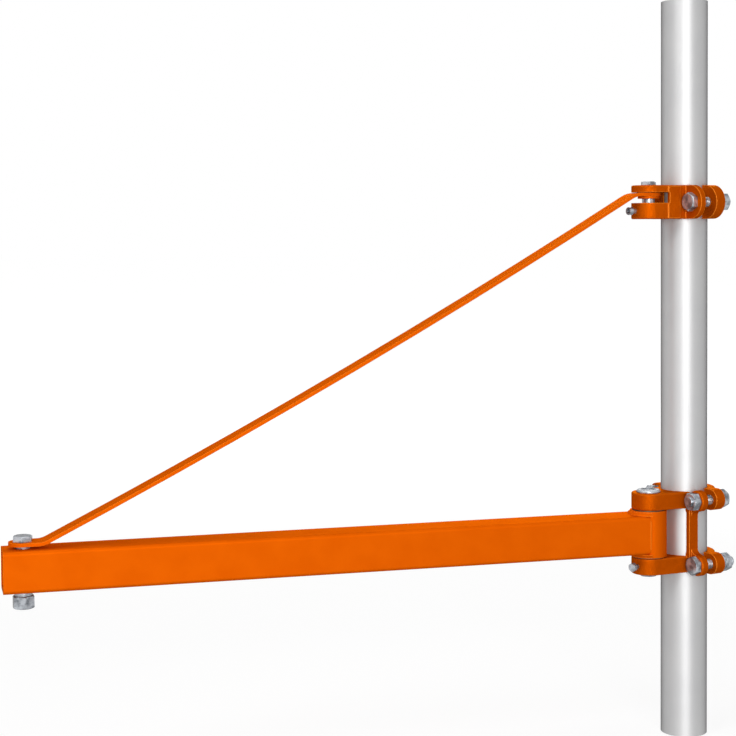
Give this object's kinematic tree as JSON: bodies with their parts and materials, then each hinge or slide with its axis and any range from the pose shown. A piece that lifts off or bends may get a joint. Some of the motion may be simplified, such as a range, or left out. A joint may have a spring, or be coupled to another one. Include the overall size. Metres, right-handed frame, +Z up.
{
  "type": "swing-arm jib crane",
  "caption": "Small jib crane: a square-tube arm with a flat tie bar swings on pins in two clamp brackets bolted round a mast tube.",
  "frame": {"origin": "centre of the flat lower end of the mast tube", "axes": "+Z up along the mast; the arm reaches along -X at rest; -Y is the left side of someone who stands behind the mast and looks out along the arm"},
  "size_m": [0.7525, 0.0981, 0.771],
  "materials": {
    "galvanised_tube": "satin grey galvanised steel",
    "painted_casting": "orange paint over a lightly grained casting",
    "painted_tube": "smooth glossy orange paint",
    "zinc_fasteners": "bright zinc plated steel"
  },
  "bodies": {
    "mast": {"mast_tube": "galvanised_tube", "lower_bracket": "painted_casting", "lower_clamp_top": "painted_casting", "lower_clamp_bottom": "painted_casting", "upper_bracket": "painted_casting", "upper_clamp": "painted_casting", "lower_pivot_pin": "zinc_fasteners", "upper_pivot_pin": "zinc_fasteners", "lower_pin_screw": "zinc_fasteners", "upper_pin_screw": "zinc_fasteners", "upper_bolt_left": "zinc_fasteners", "upper_bolt_right": "zinc_fasteners", "top_bolt_left": "zinc_fasteners", "top_bolt_right": "zinc_fasteners", "bottom_bolt_left": "zinc_fasteners", "bottom_bolt_right": "zinc_fasteners", "upper_nut_left": "zinc_fasteners", "upper_nut_right": "zinc_fasteners", "top_nut_left": "zinc_fasteners", "top_nut_right": "zinc_fasteners", "bottom_nut_left": "zinc_fasteners", "bottom_nut_right": "zinc_fasteners", "upper_spring_left": "zinc_fasteners", "upper_spring_right": "zinc_fasteners", "bottom_spring_left": "zinc_fasteners", "bottom_spring_right": "zinc_fasteners", "upper_washer_left": "zinc_fasteners", "upper_washer_right": "zinc_fasteners", "top_washer_left": "zinc_fasteners", "top_washer_right": "zinc_fasteners", "bottom_washer_left": "zinc_fasteners", "bottom_washer_right": "zinc_fasteners", "thrust_washer_top": "zinc_fasteners", "thrust_washer_bottom": "zinc_fasteners", "tie_spacer": "painted_tube", "tie_washer": "zinc_fasteners"},
    "jib": {"arm_tube": "painted_tube", "pivot_barrel": "painted_tube", "tie_bar": "painted_tube", "tip_bolt": "zinc_fasteners", "tip_spacer": "zinc_fasteners", "tip_spring_washer": "zinc_fasteners", "tip_nut": "zinc_fasteners"}
  },
  "joints": [
    {"name": "jib_swing", "type": "hinge", "parent": "mast", "child": "jib", "pos_m": [-0.04656, -0.01247, 0.217], "axis": [0, 0, 1], "range_deg": [-50, 80]}
  ]
}
